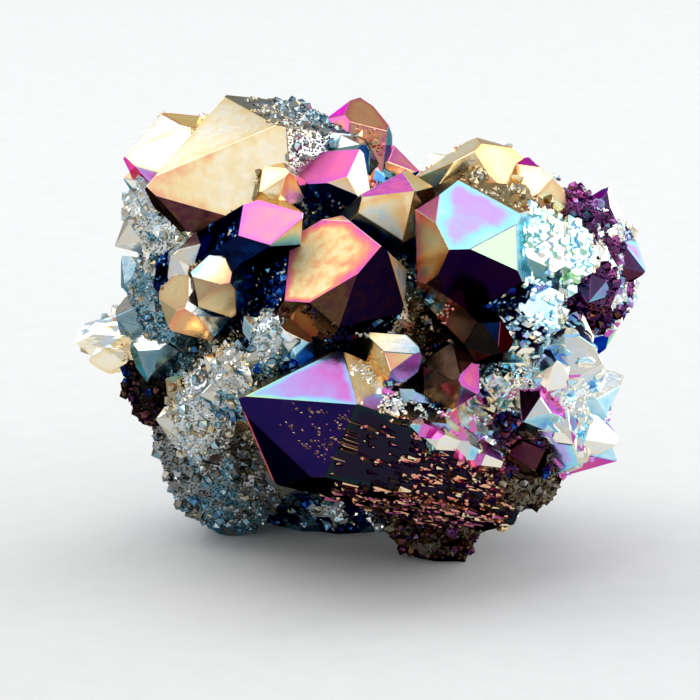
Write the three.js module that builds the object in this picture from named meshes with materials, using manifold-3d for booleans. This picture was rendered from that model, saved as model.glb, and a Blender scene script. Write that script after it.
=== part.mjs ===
// Aura quartz cluster: many quartz points grown together on one rough core, as a single solid.
// Units are millimetres and degrees, +Z is up, and the origin is the middle of the flat underside.
import * as THREE from "three";
import { mergeVertices } from "three/addons/utils/BufferGeometryUtils.js";
import Module from "manifold-3d";

const wasm = await Module();
wasm.setup();

// Driving dimensions.
const TIP_SLANT = 51.8; // from the long axis to the square of a tip face, the same on all quartz
const UNDERSIDE = 0; // height of the flat where the cluster broke off its bed
const ROUGHNESS = 0.12; // how far the core's lumps swell and shrink, as a share of their size
const GOLDEN_ANGLE = 137.5; // turn from one crust point to the next, which spreads them evenly
const SEED = 7;

// Six equal side faces, and tip faces of which every other one is set back and so smaller.
function even(girth, setBack) {
  return {
    side: [girth, girth, girth, girth, girth, girth],
    back: [0, setBack, 0, setBack, 0, setBack],
  };
}

// The large points. Each has its tip, the way its long axis aims (turn about Z, tilt above level), the
// roll of its faces about that axis and its length from tip to root. side is the distance from the axis
// to each side face, back is how far beyond the tip each tip face is set, and taper leans the sides out.
const POINTS = [
  // Middle of the front.
  {
    tip: [1.7, -13.3, 30.1], turn: -60, tilt: 43, roll: 34, length: 17,
    side: [4, 5.8, 5.6, 5.3, 4, 4], back: [0, 1.6, 0, 1, 0, 0.3],
  },
  {
    tip: [-4.8, -9.8, 31.6], turn: -43, tilt: 31, roll: 22, length: 16,
    side: [3, 3, 3.3, 3, 1.6, 2.5], back: [0.4, 0.4, 0, 2, 0, 0],
  },
  {
    tip: [-1.1, -6, 34.3], turn: -80, tilt: 36, roll: 3, length: 16,
    side: [2.4, 4, 5, 3.4, 0.8, 2], back: [0, 2, 0, 2, 0, 2],
  },
  {
    tip: [4.5, -9.2, 33.8], turn: -69, tilt: 29, roll: 52, length: 16,
    side: [3, 2.2, 3.8, 2.8, 3, 3], back: [0, 0, 2, 0, 0, 0],
  },
  // Right of the middle, aimed at the front, with sides that spread towards its root.
  {
    tip: [7.2, -15.4, 30.3], turn: -100, tilt: 13, roll: 4, length: 20, taper: 10,
    side: [5.1, 5, 5, 3.4, 4, 5], back: [0.6, 0, 1, 0, 0.9, 0],
  },
  // The largest point, lying across the front and aimed left, a little slimmer at its root.
  {
    tip: [-9.4, -17.2, 18.4], turn: -150, tilt: 23, roll: 54, length: 27, taper: -3,
    side: [5.4, 5.2, 5, 5, 5.6, 5.3], back: [0, 0.1, 0.8, 0.6, 0.8, 0],
  },
  // Small points in the gaps between them.
  {
    tip: [4.4, -15.6, 21.6], turn: -56, tilt: 14, roll: 14, length: 7,
    side: [1.8, 1.6, 2.8, 1.5, 2.2, 2], back: [0.5, 0.5, 0, 0, 0, 0.6],
  },
  { tip: [-5.9, -6.4, 34.8], turn: -70, tilt: 40, roll: 40, length: 11, ...even(1.9, 0.2) },
  { tip: [-6.6, -12.8, 23.2], turn: -120, tilt: 40, roll: 30, length: 9, ...even(1.8, 0.2) },
  { tip: [11.4, -14.6, 21.4], turn: -70, tilt: -8, roll: 30, length: 12, ...even(1.9, 0.2) },
  { tip: [8, -15.6, 19.4], turn: -80, tilt: 10, roll: 0, length: 12, ...even(2.4, 0.2) },
  // Grown beside the right point, aimed as it is, stepping back and out along its side.
  { tip: [13.2, -9.4, 29.2], turn: -100, tilt: 13, roll: 4, length: 12, ...even(3.2, 0.5) },
  { tip: [16.2, -6, 27.6], turn: -100, tilt: 13, roll: 4, length: 11, ...even(2.8, 0.4) },
  { tip: [13.4, -9.8, 23.8], turn: -100, tilt: 13, roll: 4, length: 11, ...even(2.6, 0.4) },
  // Left of the middle.
  { tip: [-15.6, -6.6, 27.8], turn: -125, tilt: 25, roll: 15, length: 11, ...even(2.4, 0.2) },
  { tip: [-10.8, -10.8, 26.4], turn: -80, tilt: 14, roll: 10, length: 11, ...even(2.6, 0.3) },
  { tip: [-14.6, -9.2, 23.8], turn: -105, tilt: 5, roll: 20, length: 12, ...even(3.1, 0.4) },
  // The big stout one at the top left, and two that grew beside it, aimed as it is.
  { tip: [-18, -3.2, 32.8], turn: -140, tilt: 12, roll: 20, length: 18, ...even(7.5, 0.4) },
  { tip: [-20, 0.6, 34.6], turn: -140, tilt: 12, roll: 20, length: 12, ...even(3.6, 0.4) },
  { tip: [-15, 1, 35.2], turn: -140, tilt: 12, roll: 20, length: 11, ...even(3, 0.3) },
  // Blunt points on the hump at the top right and on the lobe below it.
  { tip: [9.5, -3, 35.8], turn: -95, tilt: 48, roll: 12, length: 12, ...even(4.6, 0.7) },
  { tip: [16.2, -1.6, 33.2], turn: -60, tilt: 38, roll: 34, length: 11, ...even(3.8, 0.6) },
  { tip: [20.4, -7, 18.4], turn: -48, tilt: 14, roll: 20, length: 13, ...even(4, 0.6) },
  { tip: [18.4, -9, 10.2], turn: -62, tilt: -12, roll: 42, length: 13, ...even(4.2, 0.6) },
  // Back, right side and top.
  { tip: [6, 16.5, 28], turn: 70, tilt: 25, roll: 10, length: 15, ...even(4, 0.7) },
  { tip: [-7, 18, 20], turn: 105, tilt: 8, roll: 35, length: 17, ...even(4.6, 0.8) },
  { tip: [15, 14, 17.5], turn: 45, tilt: 4, roll: 50, length: 15, ...even(3.4, 0.6) },
  { tip: [-18, 13, 12], turn: 140, tilt: -5, roll: 5, length: 13, ...even(3, 0.4) },
  { tip: [4, 17.5, 12], turn: 80, tilt: -4, roll: 25, length: 14, ...even(3.6, 0.5) },
  { tip: [0, 10, 37.8], turn: 80, tilt: 55, roll: 0, length: 12, ...even(3, 0.5) },
  { tip: [23, 8, 19], turn: 20, tilt: 10, roll: 40, length: 12, ...even(2.6, 0.4) },
];

// The core that the points stand on, as rough lumps: middle, half sizes, and the number and girth of
// the stout points that crust each one.
const LUMPS = [
  { at: [0, 3, 17], half: [16, 11.5, 12], points: 0, girth: 3 },
  { at: [-12.5, 6.5, 29], half: [8.2, 8.4, 7.8], points: 12, girth: 2.4 },
  { at: [-4, 6.5, 30], half: [9, 7.5, 6.4], points: 12, girth: 2.4 },
  { at: [10.5, 5, 26.5], half: [9, 8.5, 7.5], points: 16, girth: 2.4 },
  { at: [19, 3, 24.5], half: [5, 5.5, 7], points: 10, girth: 1.7 },
  { at: [15.4, -2, 13.5], half: [6.2, 6.5, 7.4], points: 14, girth: 2 },
  { at: [-11.3, 4, 9.5], half: [6.6, 7.2, 9.5], points: 12, girth: 1.8 },
  { at: [-19, 5, 17.3], half: [6, 3.6, 2.6], points: 6, girth: 1.4 },
  { at: [-16, 5, 20], half: [4.6, 6, 9], points: 8, girth: 1.8 },
  { at: [-17.3, 4, 13.5], half: [3.5, 4, 4.5], points: 0, girth: 1 },
  { at: [6.6, -2.5, 7.5], half: [5.6, 5, 8.5], points: 6, girth: 1.4 },
  { at: [12.5, -7, 9.5], half: [4.6, 4.2, 4.6], points: 5, girth: 1.5 },
  { at: [1, 9, 6], half: [13, 7.5, 9], points: 12, girth: 3 },
  // The ridge that climbs from the lower left to the middle of the front.
  { at: [-13.4, -5, 13.6], half: [3.6, 3.6, 4.2], points: 7, girth: 1.1 },
  { at: [-10.2, -8, 17.2], half: [3.1, 3.4, 3.6], points: 6, girth: 1 },
  { at: [-6.9, -10.2, 21], half: [2.8, 3, 3.4], points: 6, girth: 0.9 },
];

const UP = new THREE.Vector3(0, 0, 1);

// Numbers from 0 to 1, the same ones each time.
function seededRandom(seed) {
  let state = seed;
  return () => {
    state = (state * 1664525 + 1013904223) % 4294967296;
    return state / 4294967296;
  };
}

// A closed three.js geometry as a solid that can be joined and cut.
function solidFrom(geometry) {
  geometry.deleteAttribute("normal");
  geometry.deleteAttribute("uv");
  const merged = mergeVertices(geometry);
  return new wasm.Manifold(new wasm.Mesh({
    numProp: 3,
    vertProperties: new Float32Array(merged.attributes.position.array),
    triVerts: new Uint32Array(merged.index.array),
  }));
}

// Cuts a solid at the plane through a point, and keeps the side that outward points away from.
function cutAt(solid, outward, point) {
  return solid.trimByPlane([-outward.x, -outward.y, -outward.z], -outward.dot(point));
}

function aim(turn, tilt) {
  const level = Math.cos(THREE.MathUtils.degToRad(tilt));
  const angle = THREE.MathUtils.degToRad(turn);
  const height = Math.sin(THREE.MathUtils.degToRad(tilt));
  return new THREE.Vector3(Math.cos(angle) * level, Math.sin(angle) * level, height);
}

// One quartz point: a block cut by a root face, six side faces and the six tip faces above them.
function quartzPoint({ tip, turn, tilt, roll, length, taper = 0, side, back }) {
  const end = new THREE.Vector3(...tip);
  const axis = aim(turn, tilt);
  const across = new THREE.Vector3().crossVectors(UP, axis).normalize();
  const over = new THREE.Vector3().crossVectors(axis, across);
  const root = end.clone().addScaledVector(axis, -length);
  const middle = end.clone().add(root).multiplyScalar(0.5);
  const block = new THREE.BoxGeometry(3 * length, 3 * length, 3 * length);
  block.translate(middle.x, middle.y, middle.z);
  let solid = cutAt(solidFrom(block), axis.clone().negate(), root);
  const slant = THREE.MathUtils.degToRad(TIP_SLANT);
  const lean = Math.tan(THREE.MathUtils.degToRad(taper));
  for (let k = 0; k < 6; k += 1) {
    const angle = THREE.MathUtils.degToRad(roll + 60 * k);
    const outward = across.clone().multiplyScalar(Math.cos(angle)).addScaledVector(over, Math.sin(angle));
    const shoulder = end.clone().addScaledVector(outward, side[k]);
    shoulder.addScaledVector(axis, -side[k] * Math.tan(slant));
    solid = cutAt(solid, outward.clone().addScaledVector(axis, lean).normalize(), shoulder);
    const slope = axis.clone().multiplyScalar(Math.cos(slant)).addScaledVector(outward, Math.sin(slant));
    solid = cutAt(solid, slope, end.clone().addScaledVector(slope, back[k]));
  }
  return solid;
}

// One rough lump: a ball of flat facets, pushed in and out at random and stretched to size.
function lump({ at, half }, random) {
  const ball = new THREE.IcosahedronGeometry(1, 1);
  ball.deleteAttribute("normal");
  ball.deleteAttribute("uv");
  const merged = mergeVertices(ball);
  const places = merged.attributes.position;
  for (let i = 0; i < places.count; i += 1) {
    const swell = 1 + ROUGHNESS * (2 * random() - 1);
    places.setXYZ(
      i,
      at[0] + half[0] * swell * places.getX(i),
      at[1] + half[1] * swell * places.getY(i),
      at[2] + half[2] * swell * places.getZ(i),
    );
  }
  return solidFrom(merged);
}

// Stout points all round a lump, from its top to low on its sides, aimed away from its middle.
function crust({ at, half, points, girth }, random) {
  const made = [];
  for (let i = 0; i < points; i += 1) {
    const tilt = THREE.MathUtils.radToDeg(Math.asin(1 - (1.7 * (i + 0.5)) / points));
    const turn = GOLDEN_ANGLE * i + 40 * random();
    const out = aim(turn, tilt);
    const reach = 1 / Math.hypot(out.x / half[0], out.y / half[1], out.z / half[2]);
    const size = girth * (0.7 + 0.6 * random());
    const stands = reach + size * (0.1 + 0.4 * random());
    const tip = [at[0] + out.x * stands, at[1] + out.y * stands, at[2] + out.z * stands];
    const side = Array.from({ length: 6 }, () => size * (0.8 + 0.4 * random()));
    const back = Array.from({ length: 6 }, () => 0.3 * size * random());
    const sway = 30 * (random() - 0.5);
    made.push({ tip, turn: turn + sway, tilt: tilt + sway, roll: 60 * random(), side, back, length: 3 * size });
  }
  return made;
}

// Everything grown together, cut off flat underneath. Gaps sealed inside it are filled, by keeping only
// the outermost of the shells that the joins leave.
function growCluster() {
  const random = seededRandom(SEED);
  const pieces = POINTS.map(quartzPoint);
  for (const each of LUMPS) {
    pieces.push(lump(each, random));
    for (const point of crust(each, random)) pieces.push(quartzPoint(point));
  }
  const joined = pieces.reduce((whole, piece) => whole.add(piece));
  const shells = joined.decompose();
  const outermost = shells.reduce((largest, shell) => (shell.volume() > largest.volume() ? shell : largest));
  return cutAt(outermost, UP.clone().negate(), new THREE.Vector3(0, 0, UNDERSIDE));
}

// The solid as three.js geometry, with the origin under the middle of its box.
function geometryFrom(solid) {
  const mesh = solid.getMesh();
  const geometry = new THREE.BufferGeometry();
  geometry.setAttribute("position", new THREE.BufferAttribute(mesh.vertProperties, 3));
  geometry.setIndex(new THREE.BufferAttribute(mesh.triVerts, 1));
  geometry.computeBoundingBox();
  const middle = geometry.boundingBox.getCenter(new THREE.Vector3());
  geometry.translate(-middle.x, -middle.y, 0);
  geometry.computeVertexNormals();
  return geometry;
}

const cluster = new THREE.Mesh(
  geometryFrom(growCluster()),
  new THREE.MeshStandardMaterial({ color: 0x8f6fb0, roughness: 0.25, metalness: 1 }),
);
cluster.name = "quartz_cluster";

const group = new THREE.Group();
group.add(cluster);
export default group;
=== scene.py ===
# Aura quartz cluster: quartz points grown together on one rough core, coated with a thin metal film that
# turns them gold, pink, cyan and blue. Shapes are made in millimetres and turned to metres when finished.
import math

import bmesh
import bpy
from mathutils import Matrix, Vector, noise
from mathutils.bvhtree import BVHTree


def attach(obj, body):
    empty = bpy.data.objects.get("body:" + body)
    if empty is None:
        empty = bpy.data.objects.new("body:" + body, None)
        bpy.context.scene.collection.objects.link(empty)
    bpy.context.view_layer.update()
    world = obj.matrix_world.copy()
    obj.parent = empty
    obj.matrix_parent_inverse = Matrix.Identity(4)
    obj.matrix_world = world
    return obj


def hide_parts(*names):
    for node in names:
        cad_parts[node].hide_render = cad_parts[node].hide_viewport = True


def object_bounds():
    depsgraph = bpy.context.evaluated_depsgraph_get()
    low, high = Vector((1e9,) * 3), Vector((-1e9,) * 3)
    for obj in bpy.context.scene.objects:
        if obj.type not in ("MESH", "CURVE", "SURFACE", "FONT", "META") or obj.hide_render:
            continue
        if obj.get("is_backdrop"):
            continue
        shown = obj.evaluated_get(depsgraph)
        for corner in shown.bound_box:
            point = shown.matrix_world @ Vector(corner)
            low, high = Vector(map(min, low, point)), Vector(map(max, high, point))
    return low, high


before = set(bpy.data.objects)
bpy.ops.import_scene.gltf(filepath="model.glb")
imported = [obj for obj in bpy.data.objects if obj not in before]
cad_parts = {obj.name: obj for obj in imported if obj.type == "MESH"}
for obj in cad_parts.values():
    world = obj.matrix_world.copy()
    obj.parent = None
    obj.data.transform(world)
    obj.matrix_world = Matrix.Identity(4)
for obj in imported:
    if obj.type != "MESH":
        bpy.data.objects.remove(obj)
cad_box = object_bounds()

# ------------------------------------------------------------------------------
# Floor, light and camera. The cluster stands on a plain pale floor under soft studio light: a wide softbox
# overhead, smaller ones round it that each light some of the mirror faces, and an even fill all round.
# ------------------------------------------------------------------------------
MM = 0.001
scene = bpy.context.scene


def linear(hex_colour):
    """An sRGB hex colour as linear red, green, blue and alpha."""
    parts = [int(hex_colour[i:i + 2], 16) / 255 for i in (1, 3, 5)]
    return [p / 12.92 if p <= 0.04045 else ((p + 0.055) / 1.055) ** 2.4 for p in parts] + [1.0]


def add_node(tree, kind, settings=(), inputs=()):
    """Adds a node to a tree, with its settings, and its inputs set to values or linked to other nodes."""
    node = tree.nodes.new(kind)
    for name, value in dict(settings).items():
        setattr(node, name, value)
    for name, value in dict(inputs).items():
        if isinstance(value, bpy.types.NodeSocket):
            tree.links.new(value, node.inputs[name])
        else:
            node.inputs[name].default_value = value
    return node


def new_material(name):
    """A material with an empty node tree, and the tree."""
    material = bpy.data.materials.new(name)
    material.use_nodes = True
    material.node_tree.nodes.clear()
    return material, material.node_tree


def add_object(name, data):
    made = bpy.data.objects.new(name, data)
    scene.collection.objects.link(made)
    return made


def object_from(shape, name):
    """Makes an object of a bmesh, and frees the bmesh."""
    mesh = bpy.data.meshes.new(name)
    shape.to_mesh(mesh)
    shape.free()
    return add_object(name, mesh)


FLOOR_RADIUS = 1.2
paper, tree = new_material("matt_pale_paper")
grain = add_node(tree, "ShaderNodeTexNoise", inputs={"Scale": 900.0, "Detail": 3.0})
shade = add_node(tree, "ShaderNodeMix", {"data_type": "RGBA"}, {
    "Factor": grain.outputs["Fac"], "A": linear("#dedddb"), "B": linear("#e6e5e3")})
matt = add_node(tree, "ShaderNodeBsdfPrincipled", inputs={
    "Base Color": shade.outputs["Result"], "Roughness": 0.9})
add_node(tree, "ShaderNodeOutputMaterial", inputs={"Surface": matt.outputs["BSDF"]})

shape = bmesh.new()
bmesh.ops.create_circle(shape, cap_ends=True, segments=64, radius=FLOOR_RADIUS)
floor = object_from(shape, "floor")
floor.data.materials.append(paper)
floor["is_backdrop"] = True

scene.world = bpy.data.worlds.new("studio")
scene.world.use_nodes = True
fill = scene.world.node_tree.nodes["Background"]
fill.inputs["Color"].default_value = linear("#dfe4ea")
fill.inputs["Strength"].default_value = 0.75

# Each softbox: the way it stands from the cluster, how far, its size, and how bright its face is.
SOFTBOXES = [
    ((-0.22, 0.18, 0.96), 0.55, (0.5, 0.42), 1.5),
    ((0.66, 0.66, 0.38), 0.6, (0.34, 0.3), 2.2),
    ((-0.74, 0.16, 0.62), 0.6, (0.34, 0.38), 1.9),
    ((-0.33, 0.81, 0.48), 0.6, (0.22, 0.2), 1.6),
    ((0.9, -0.15, 0.27), 0.6, (0.46, 0.42), 2.2),
    ((0.38, 0.28, 0.88), 0.6, (0.18, 0.26), 1.5),
    ((0.06, -0.84, 0.54), 0.6, (0.34, 0.22), 1.0),
]
MIDDLE = Vector((0, 0, 0.018))  # the middle of the cluster, which they light
for number, (toward, away, size, glow) in enumerate(SOFTBOXES):
    light = bpy.data.lights.new(f"softbox_{number}", "AREA")
    light.shape = "RECTANGLE"
    light.size, light.size_y = size
    light.energy = glow * math.pi * light.size * light.size_y
    lamp = add_object(light.name, light)
    way = Vector(toward).normalized()
    lamp.location = MIDDLE + way * away
    lamp.rotation_euler = way.to_track_quat("Z", "Y").to_euler()

CAMERA_ELEVATION = math.radians(15)
CAMERA_DISTANCE = 0.35
AIMED_AT = Vector((-0.55, 0.57, 17.75)) * MM
camera = bpy.data.cameras.new("camera")
camera.sensor_width = 36
camera.lens = 210
camera.clip_start = 0.01
viewpoint = add_object("camera", camera)
sight = Vector((0, -math.cos(CAMERA_ELEVATION), math.sin(CAMERA_ELEVATION)))
viewpoint.location = AIMED_AT + sight * CAMERA_DISTANCE
viewpoint.rotation_euler = sight.to_track_quat("Z", "Y").to_euler()
scene.camera = viewpoint
scene.view_settings.view_transform = "Standard"

# ------------------------------------------------------------------------------
# Quartz points and the core they stand on. The real cluster is one piece of quartz, grown from many points
# that run into each other, so each point and each lump of the core is made and all are joined to one solid.
# ------------------------------------------------------------------------------
TIP_SLANT = math.radians(51.8)  # from the long axis to the square of a tip face, the same on all quartz
ROUGHNESS = 0.12  # how far the core's lumps swell and shrink, as a share of their size
DIMPLE_WIDTH, DIMPLE_DEPTH, DIMPLE_SUNK = 1.6, 0.45, 0.35  # the lumps' finer swellings, and their level
PATCH = 1.7  # how broad the patches of film on the lumps are
SECOND_ABOVE = 0.2  # how high the noise is, from -1 to 1, where a lump's first film gives way to its second
RAGGED = 0.6  # how ragged the borders between films are
EAST_ABOVE = 0.6  # how far right a face looks, from -1 to 1, to take the film of the right, a painted highlight
UP_ABOVE = 0.5  # how far up it looks to take the upper film
LEVEL_ABOVE = -0.3  # and the level one
GOLDEN_ANGLE = 137.5  # turn from one crust point to the next, which spreads them evenly
SEED = 7
CENTRE = Vector((-0.318, -0.5645, 0))  # the middle of the cluster on its bed, which becomes the origin
UP = Vector((0, 0, 1))

# The film's colours in order of its thickness: the first order from black to white, then the second from
# cream to mint. Each has its place on that scale and the sRGB colour that it gives bare metal.
FILM = {
    "black": (0.00, "#1c1716"),
    "umber": (0.05, "#3a2c24"),
    "bronze": (0.10, "#6e5138"),
    "maroon": (0.16, "#5a2c3c"),
    "plum": (0.21, "#3c1f55"),
    "violet": (0.25, "#261a58"),
    "navy": (0.30, "#0e1838"),
    "blue": (0.36, "#1146a4"),
    "sky": (0.42, "#4c92e4"),
    "cyan": (0.48, "#a0e2f6"),
    "white": (0.54, "#f3f8fb"),
    "cream": (0.60, "#fff3d6"),
    "gold": (0.66, "#fce3ac"),
    "orange": (0.71, "#fabb90"),
    "salmon": (0.76, "#f8989c"),
    "pink": (0.80, "#f27ebf"),
    "magenta": (0.85, "#de76d2"),
    "lavender": (0.90, "#c2aaf4"),
    "aqua": (0.95, "#9ae2fb"),
    "mint": (1.00, "#c2f2bc"),
}
# Film colours darkened by a tone, which paints shade on them: the film colour and the tone. The darkest, such
# as soot, smoke, steel, lead and mauve, go on faces that look down or lie in shadow among the points.
SHADED_FILMS = {
    "olive": ("gold", 0.42), "butter": ("gold", 0.75), "taupe": ("cream", 0.5), "ivory": ("cream", 0.8),
    "smoke": ("cream", 0.16), "slate": ("cyan", 0.45), "steel": ("cyan", 0.2), "teal": ("sky", 0.6),
    "silver": ("white", 0.7), "pewter": ("white", 0.42), "lead": ("white", 0.26), "ink": ("plum", 0.3),
    "lilac": ("lavender", 0.66), "soot": ("lavender", 0.03), "haze": ("aqua", 0.5), "jade": ("mint", 0.6),
    "rose": ("salmon", 0.5), "coral": ("salmon", 0.8), "blush": ("pink", 0.75), "orchid": ("magenta", 0.5),
    "mauve": ("magenta", 0.2), "copper": ("orange", 0.5), "amber": ("orange", 0.8),
}


def coat(name):
    """A film colour's place on the thickness scale and its tone, which paints shade where it is below 1."""
    if name in SHADED_FILMS:
        return FILM[SHADED_FILMS[name][0]][0], SHADED_FILMS[name][1]
    return FILM[name][0], 1.0


def point(tip, turn, tilt, roll, length, side, back, rim, tips, sides, **more):
    """One large point as quartz_point takes it, from its row in POINTS."""
    side = side if isinstance(side, tuple) else (side,) * 6
    back = back if isinstance(back, tuple) else (0, back) * 3
    return dict(tip=tip, turn=turn, tilt=tilt, roll=roll, length=length, side=side, back=back, rim=rim,
                tips=tips, sides=sides, **more)


# The large points. Each has its tip, the way its long axis aims (turn about Z, tilt above level), the roll
# of its faces about that axis and its length from tip to root. Then come the distances from the axis to the
# six side faces (one number if they are equal), how far beyond the tip the tip faces are set (one number if
# every other one is set so), and how much thicker the film is along the edges. Then the film on each tip
# face and on each side face, near its top and, after a dash, at its foot, which is fade below the top of a
# side. The dark films, such as ink, navy, umber, black and soot, on faces that look down and at the feet, are
# partly painted shade. taper leans the sides out, reach is how wide the edges' band is, etched how pitted the
# tip faces are, satin how dull, and unshaded how far the painted shade in the gaps round the point is held
# off. edge is two tip faces whose shared edge is broadly worn, how deep, and the film there.
POINTS = [
    point((1.7, -13.3, 30.1), -60, 43, 34, 17, (4, 5.8, 5.6, 5.3, 4, 4), (0, 1.6, 0, 1, 0, 0.3), 0.14,
          "white cream gold maroon-bronze ink white", "white gold navy umber-navy ink white",
          reach=1.3, etched=0.9, satin=0.55, airy=0.8),
    point((-4.8, -9.8, 31.6), -43, 31, 22, 16, (3, 3, 3.3, 3, 1.6, 2.5), (0.4, 0.4, 0, 2, 0, 0), 0.03,
          "cream gold coral-blush blush gold-sky white", "white cream navy navy navy white"),
    point((-1.1, -6, 34.3), -80, 36, 3, 16, (2.4, 4, 5, 3.4, 0.8, 2), 2, 0.03,
          "white gold pink gold-cream gold-white white", "cyan gold gold-white olive blue-sky navy",
          satin=0.4),
    point((4.5, -9.2, 33.8), -69, 29, 52, 16, (3, 2.2, 3.8, 2.8, 3, 3), (0, 0, 2, 0, 0, 0), 0.04,
          "cream pink salmon gold-white white cream", "cream gold cream-cyan taupe navy olive"),
    point((7.2, -15.4, 30.3), -100, 13, 4, 20, (5.1, 5, 5, 3.4, 4, 5), (0.6, 0, 1, 0, 0.9, 0), 0.06,
          "jade lilac gold-rose taupe-amber amber-salmon ink", "cyan-white taupe bronze olive amber navy",
          taper=10, reach=1.7),
    point((-9.4, -17.2, 18.4), -150, 23, 54, 27, (5.4, 5.2, 5, 5, 5.6, 5.3), (0, 0.1, 0.8, 0.6, 0.8, 0), 0.08,
          "haze-orchid taupe-cream cream gold ink violet", "white olive gold bronze umber soot",
          taper=-3, edge=((3, 4), 0.07, "salmon")),
    point((4.4, -15.6, 21.6), -56, 14, 14, 7, (1.8, 1.6, 2.8, 1.5, 2.2, 2), (0.5, 0.5, 0, 0, 0, 0.6), 0.03,
          "silver taupe slate-butter ivory-orange orchid-lilac aqua",
          "aqua taupe silver gold-orange magenta magenta"),
    point((-5.9, -6.4, 34.8), -70, 40, 40, 11, 1.9, 0.2, 0.06,
          "white cream gold gold-white gold-cyan white", "cyan cream taupe gold silver blue"),
    point((-6.6, -12.8, 23.2), -120, 40, 30, 9, 1.8, 0.2, 0.04,
          "gold cream silver silver white-sky cream-sky", "sky silver silver-blue blue blue sky", fade=3),
    point((11.4, -14.6, 21.4), -70, -8, 30, 12, 1.9, 0.2, 0.02,
          "maroon navy black umber black black", "silver umber orange black black umber"),
    point((8, -15.6, 19.4), -80, 10, 0, 12, 2.4, 0.2, 0.06,
          "pink orange umber umber bronze aqua-pink", "aqua orange umber umber umber pink"),
    point((13.2, -9.4, 29.2), -100, 13, 4, 12, 3.2, 0.5, 0.03,
          "white cyan white cream silver haze", "white cyan silver cream silver haze"),
    point((16.2, -6, 27.6), -100, 13, 4, 11, 2.8, 0.4, 0.03,
          "cyan white white cream silver haze", "white white silver cream silver haze"),
    point((13.4, -9.8, 23.8), -100, 13, 4, 11, 2.6, 0.4, 0.03,
          "cyan lavender silver taupe ink ink", "white lavender silver taupe ink ink"),
    point((-15.6, -6.6, 27.8), -125, 25, 15, 11, 2.4, 0.2, 0.03,
          "cream-cyan white white white silver cream-sky", "white-blue white silver silver slate blue",
          fade=4),
    point((-10.8, -10.8, 26.4), -80, 14, 10, 11, 2.6, 0.3, 0.03,
          "cyan-blue silver copper-slate olive olive-gold sky-blue",
          "sky-navy white olive umber navy blue-navy", fade=3),
    point((-14.6, -9.2, 23.8), -105, 5, 20, 12, 3.1, 0.4, 0.03,
          "white-sky cream-cyan gold taupe orange-gold gold-sky",
          "sky-navy white silver taupe black blue-navy", fade=3),
    point((-18, -3.2, 32.8), -140, 12, 20, 18, 7.5, 0.4, 0.04,
          "gold-cream cream-taupe cream silver umber maroon-bronze",
          "taupe-slate taupe-slate silver slate umber umber", reach=1.2, etched=0.8, satin=0.25),
    point((-20, 0.6, 34.6), -140, 12, 20, 12, 3.6, 0.4, 0.05,
          "cream white gold cream pink magenta", "cream gold white silver taupe rose"),
    point((-15, 1, 35.2), -140, 12, 20, 11, 3, 0.3, 0.05,
          "gold cream white silver taupe taupe", "cream gold white silver taupe taupe"),
    point((9.5, -3, 35.8), -95, 48, 12, 12, 4.6, 0.7, 0.03,
          "butter butter cream butter cream butter", "butter gold cream gold taupe olive"),
    point((16.2, -1.6, 33.2), -60, 38, 34, 11, 3.8, 0.6, 0.04,
          "butter pink butter butter gold cream", "white lavender cream taupe olive olive"),
    point((20.4, -7, 18.4), -48, 14, 20, 13, 4, 0.6, 0.05,
          "white cyan white pink white white", "white cream white white lavender white", airy=0.8),
    point((18.4, -9, 10.2), -62, -12, 42, 13, 4.2, 0.6, 0.05,
          "white white lavender pink cyan white", "white white white lavender cyan white", airy=0.8),
    point((6, 16.5, 28), 70, 25, 10, 15, 4, 0.7, 0.06,
          "pink gold cream cyan navy magenta", "lavender cream silver cyan navy plum"),
    point((-7, 18, 20), 105, 8, 35, 17, 4.6, 0.8, 0.06,
          "gold white cyan violet navy pink", "cream white cyan navy umber magenta"),
    point((15, 14, 17.5), 45, 4, 50, 15, 3.4, 0.6, 0.06,
          "cream pink aqua blue navy gold", "cream lavender cyan blue umber gold"),
    point((-18, 13, 12), 140, -5, 5, 13, 3, 0.4, 0.06,
          "cyan cream gold orange navy blue", "cyan white gold bronze navy blue"),
    point((4, 17.5, 12), 80, -4, 25, 14, 3.6, 0.5, 0.06,
          "magenta gold white blue violet navy", "lavender gold white blue plum navy"),
    point((0, 10, 37.8), 80, 55, 0, 12, 3, 0.5, 0.06,
          "pink blush amber pink rose orange", "cyan rose amber slate slate orange"),
    point((23, 8, 19), 20, 10, 40, 12, 2.6, 0.4, 0.06,
          "lavender cream pink aqua white white", "lavender white cyan blue silver white"),
]
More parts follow.
